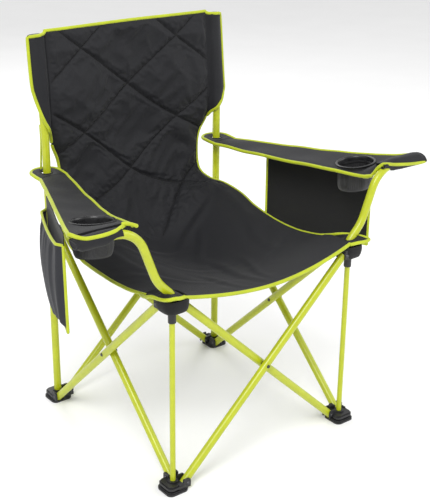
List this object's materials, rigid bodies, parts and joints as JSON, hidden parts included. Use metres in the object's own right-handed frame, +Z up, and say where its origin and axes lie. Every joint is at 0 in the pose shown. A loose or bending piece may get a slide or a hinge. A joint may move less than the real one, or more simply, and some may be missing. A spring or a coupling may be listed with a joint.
{
  "type": "folding camp chair",
  "caption": "Folding camp chair with a crossed steel tube frame, padded quilted sling seat and back, armrests with cup holders and side pockets.",
  "frame": {"origin": "on the ground, in the middle of the four feet, with the chair open", "axes": "+X to the sitter's left, which is the right side seen from the front; +Y to the rear; +Z up"},
  "size_m": [0.9778, 0.5889, 0.9541],
  "materials": {
    "frame_paint": "satin",
    "rod_steel": "satin",
    "pin_steel": "satin",
    "rivet_black": "satin",
    "hub_plastic": "matte",
    "cup_rim_plastic": "satin",
    "padded_fabric": "woven",
    "plain_fabric": "woven",
    "pocket_fabric": "woven",
    "pocket_lining": "woven",
    "mesh_fabric": "mesh",
    "piping": "woven"
  },
  "bodies": {
    "rear_left_leg": {"foot_rear_left": "hub_plastic", "foot_pins_rear_left": "pin_steel", "rear_post_left": "frame_paint", "back_sleeve_left": "plain_fabric", "back_panel": "padded_fabric"},
    "left_outer_bar": {"bar_left_outer": "frame_paint", "rivet_left": "rivet_black"},
    "left_inner_bar": {"bar_left_inner": "frame_paint"},
    "rear_left_slider": {"bracket_rear_left": "hub_plastic", "bracket_pins_rear_left": "pin_steel"},
    "front_left_leg": {"foot_front_left": "hub_plastic", "foot_pins_front_left": "pin_steel", "front_leg_tube_left": "frame_paint", "leg_collar_left": "hub_plastic"},
    "front_left_arm": {"bracket_front_left": "hub_plastic", "bracket_pins_front_left": "pin_steel", "leg_rod_left": "rod_steel", "arm_post_left": "frame_paint", "arm_sleeve_left": "plain_fabric", "seat_corner_left": "plain_fabric", "side_pocket_left": "pocket_fabric"},
    "back_inner_bar": {"bar_back_inner": "frame_paint", "rivet_back": "rivet_black"},
    "back_outer_bar": {"bar_back_outer": "frame_paint"},
    "rear_right_leg": {"foot_rear_right": "hub_plastic", "foot_pins_rear_right": "pin_steel", "rear_post_right": "frame_paint", "back_sleeve_right": "plain_fabric"},
    "rear_right_slider": {"bracket_rear_right": "hub_plastic", "bracket_pins_rear_right": "pin_steel"},
    "front_outer_bar": {"bar_front_outer": "frame_paint", "rivet_front": "rivet_black"},
    "front_inner_bar": {"bar_front_inner": "frame_paint"},
    "front_right_leg": {"foot_front_right": "hub_plastic", "foot_pins_front_right": "pin_steel", "front_leg_tube_right": "frame_paint", "leg_collar_right": "hub_plastic"},
    "front_right_arm": {"bracket_front_right": "hub_plastic", "bracket_pins_front_right": "pin_steel", "leg_rod_right": "rod_steel", "arm_post_right": "frame_paint", "arm_sleeve_right": "plain_fabric", "seat_corner_right": "plain_fabric", "side_pocket_right": "pocket_lining"},
    "right_inner_bar": {"bar_right_inner": "frame_paint", "rivet_right": "rivet_black"},
    "right_outer_bar": {"bar_right_outer": "frame_paint"},
    "seat_front_half": {"seat_front": "padded_fabric"},
    "seat_rear_half": {"seat_rear": "padded_fabric"},
    "left_arm_loop": {"arm_loop_left": "plain_fabric"},
    "right_arm_loop": {"arm_loop_right": "plain_fabric"},
    "left_armrest_front": {"armrest_front_left": "padded_fabric", "cup_ring_left": "cup_rim_plastic", "cup_mesh_left": "mesh_fabric"},
    "right_armrest_front": {"armrest_front_right": "padded_fabric", "cup_ring_right": "cup_rim_plastic", "cup_mesh_right": "mesh_fabric"},
    "left_armrest_rear": {"armrest_rear_left": "padded_fabric"},
    "right_armrest_rear": {"armrest_rear_right": "padded_fabric"}
  },
  "joints": [
    {"name": "fold", "type": "hinge", "parent": "rear_left_leg", "child": "left_outer_bar", "pos_m": [-0.2695, 0.233, 0.018], "axis": [-1, 0, 0], "range_deg": [0, 45], "deforming": ["back_panel", "seat_front", "seat_rear", "seat_corner_left", "seat_corner_right", "armrest_front_left", "armrest_front_right", "armrest_rear_left", "armrest_rear_right", "arm_loop_left", "arm_loop_right", "side_pocket_left", "side_pocket_right"]},
    {"name": "left_scissor", "type": "hinge", "parent": "left_outer_bar", "child": "left_inner_bar", "pos_m": [-0.259, 0, 0.239], "axis": [1, 0, 0], "range_deg": [0, 90]},
    {"name": "rear_left_slider_pivot", "type": "hinge", "parent": "left_inner_bar", "child": "rear_left_slider", "pos_m": [-0.2485, 0.233, 0.46], "axis": [-1, 0, 0], "range_deg": [0, 45]},
    {"name": "front_left_foot_pivot", "type": "hinge", "parent": "left_inner_bar", "child": "front_left_leg", "pos_m": [-0.2485, -0.233, 0.018], "axis": [-1, 0, 0], "range_deg": [0, 45]},
    {"name": "front_left_arm_pivot", "type": "hinge", "parent": "left_outer_bar", "child": "front_left_arm", "pos_m": [-0.2695, -0.233, 0.46], "axis": [1, 0, 0], "range_deg": [0, 45]},
    {"name": "back_inner_foot_pivot", "type": "hinge", "parent": "rear_left_leg", "child": "back_inner_bar", "pos_m": [-0.233, 0.2485, 0.018], "axis": [0, -1, 0], "range_deg": [0, 45]},
    {"name": "back_scissor", "type": "hinge", "parent": "back_inner_bar", "child": "back_outer_bar", "pos_m": [0, 0.259, 0.239], "axis": [0, 1, 0], "range_deg": [0, 90]},
    {"name": "rear_right_foot_pivot", "type": "hinge", "parent": "back_outer_bar", "child": "rear_right_leg", "pos_m": [0.233, 0.2695, 0.018], "axis": [0, -1, 0], "range_deg": [0, 45]},
    {"name": "rear_right_slider_pivot", "type": "hinge", "parent": "back_inner_bar", "child": "rear_right_slider", "pos_m": [0.233, 0.2485, 0.46], "axis": [0, 1, 0], "range_deg": [0, 45]},
    {"name": "front_outer_foot_pivot", "type": "hinge", "parent": "front_left_leg", "child": "front_outer_bar", "pos_m": [-0.233, -0.2695, 0.018], "axis": [0, -1, 0], "range_deg": [0, 45]},
    {"name": "front_scissor", "type": "hinge", "parent": "front_outer_bar", "child": "front_inner_bar", "pos_m": [0, -0.259, 0.239], "axis": [0, 1, 0], "range_deg": [0, 90]},
    {"name": "front_right_foot_pivot", "type": "hinge", "parent": "front_inner_bar", "child": "front_right_leg", "pos_m": [0.233, -0.2485, 0.018], "axis": [0, -1, 0], "range_deg": [0, 45]},
    {"name": "front_right_arm_pivot", "type": "hinge", "parent": "front_outer_bar", "child": "front_right_arm", "pos_m": [0.233, -0.2695, 0.46], "axis": [0, 1, 0], "range_deg": [0, 45]},
    {"name": "right_inner_foot_pivot", "type": "hinge", "parent": "rear_right_leg", "child": "right_inner_bar", "pos_m": [0.2485, 0.233, 0.018], "axis": [-1, 0, 0], "range_deg": [0, 45]},
    {"name": "right_scissor", "type": "hinge", "parent": "right_inner_bar", "child": "right_outer_bar", "pos_m": [0.259, 0, 0.239], "axis": [1, 0, 0], "range_deg": [0, 90]},
    {"name": "seat_front_fold", "type": "hinge", "parent": "front_left_arm", "child": "seat_front_half", "pos_m": [0, -0.279, 0.48], "axis": [1, 0, 0], "range_deg": [0, 90]},
    {"name": "seat_rear_fold", "type": "hinge", "parent": "rear_left_slider", "child": "seat_rear_half", "pos_m": [0, 0.243, 0.508], "axis": [-1, 0, 0], "range_deg": [0, 90]},
    {"name": "left_armrest_front_fold", "type": "hinge", "parent": "front_left_arm", "child": "left_armrest_front", "pos_m": [-0.385, -0.241, 0.636], "axis": [-1, 0, 0], "range_deg": [0, 90]},
    {"name": "right_armrest_front_fold", "type": "hinge", "parent": "front_right_arm", "child": "right_armrest_front", "pos_m": [0.385, -0.241, 0.636], "axis": [-1, 0, 0], "range_deg": [0, 90]},
    {"name": "left_armrest_rear_fold", "type": "hinge", "parent": "left_arm_loop", "child": "left_armrest_rear", "pos_m": [-0.259, 0.225, 0.616], "axis": [1, 0, 0], "range_deg": [0, 90]},
    {"name": "right_armrest_rear_fold", "type": "hinge", "parent": "right_arm_loop", "child": "right_armrest_rear", "pos_m": [0.259, 0.225, 0.616], "axis": [1, 0, 0], "range_deg": [0, 90]},
    {"name": "left_loop_slide", "type": "slide", "parent": "rear_left_leg", "child": "left_arm_loop", "axis": [0, 0, 1], "range_m": [0, 0.0801]},
    {"name": "right_loop_slide", "type": "slide", "parent": "rear_right_leg", "child": "right_arm_loop", "axis": [0, 0, 1], "range_m": [0, 0.0801]}
  ],
  "couplings": [
    {"joint": "left_scissor", "follows": "fold", "ratio": 2},
    {"joint": "rear_left_slider_pivot", "follows": "fold", "ratio": 1},
    {"joint": "front_left_foot_pivot", "follows": "fold", "ratio": 1},
    {"joint": "front_left_arm_pivot", "follows": "fold", "ratio": 1},
    {"joint": "back_inner_foot_pivot", "follows": "fold", "ratio": 1},
    {"joint": "back_scissor", "follows": "fold", "ratio": 2},
    {"joint": "rear_right_foot_pivot", "follows": "fold", "ratio": 1},
    {"joint": "rear_right_slider_pivot", "follows": "fold", "ratio": 1},
    {"joint": "front_outer_foot_pivot", "follows": "fold", "ratio": 1},
    {"joint": "front_scissor", "follows": "fold", "ratio": 2},
    {"joint": "front_right_foot_pivot", "follows": "fold", "ratio": 1},
    {"joint": "front_right_arm_pivot", "follows": "fold", "ratio": 1},
    {"joint": "right_inner_foot_pivot", "follows": "fold", "ratio": 1},
    {"joint": "right_scissor", "follows": "fold", "ratio": 2},
    {"joint": "seat_front_fold", "follows": "fold", "ratio": 2},
    {"joint": "seat_rear_fold", "follows": "fold", "ratio": 2},
    {"joint": "left_armrest_front_fold", "follows": "fold", "ratio": 2},
    {"joint": "right_armrest_front_fold", "follows": "fold", "ratio": 2},
    {"joint": "left_armrest_rear_fold", "follows": "fold", "ratio": 2},
    {"joint": "right_armrest_rear_fold", "follows": "fold", "ratio": 2},
    {"joint": "left_loop_slide", "follows": "fold", "m_per_rad": 0.10186},
    {"joint": "right_loop_slide", "follows": "fold", "m_per_rad": 0.10186}
  ]
}
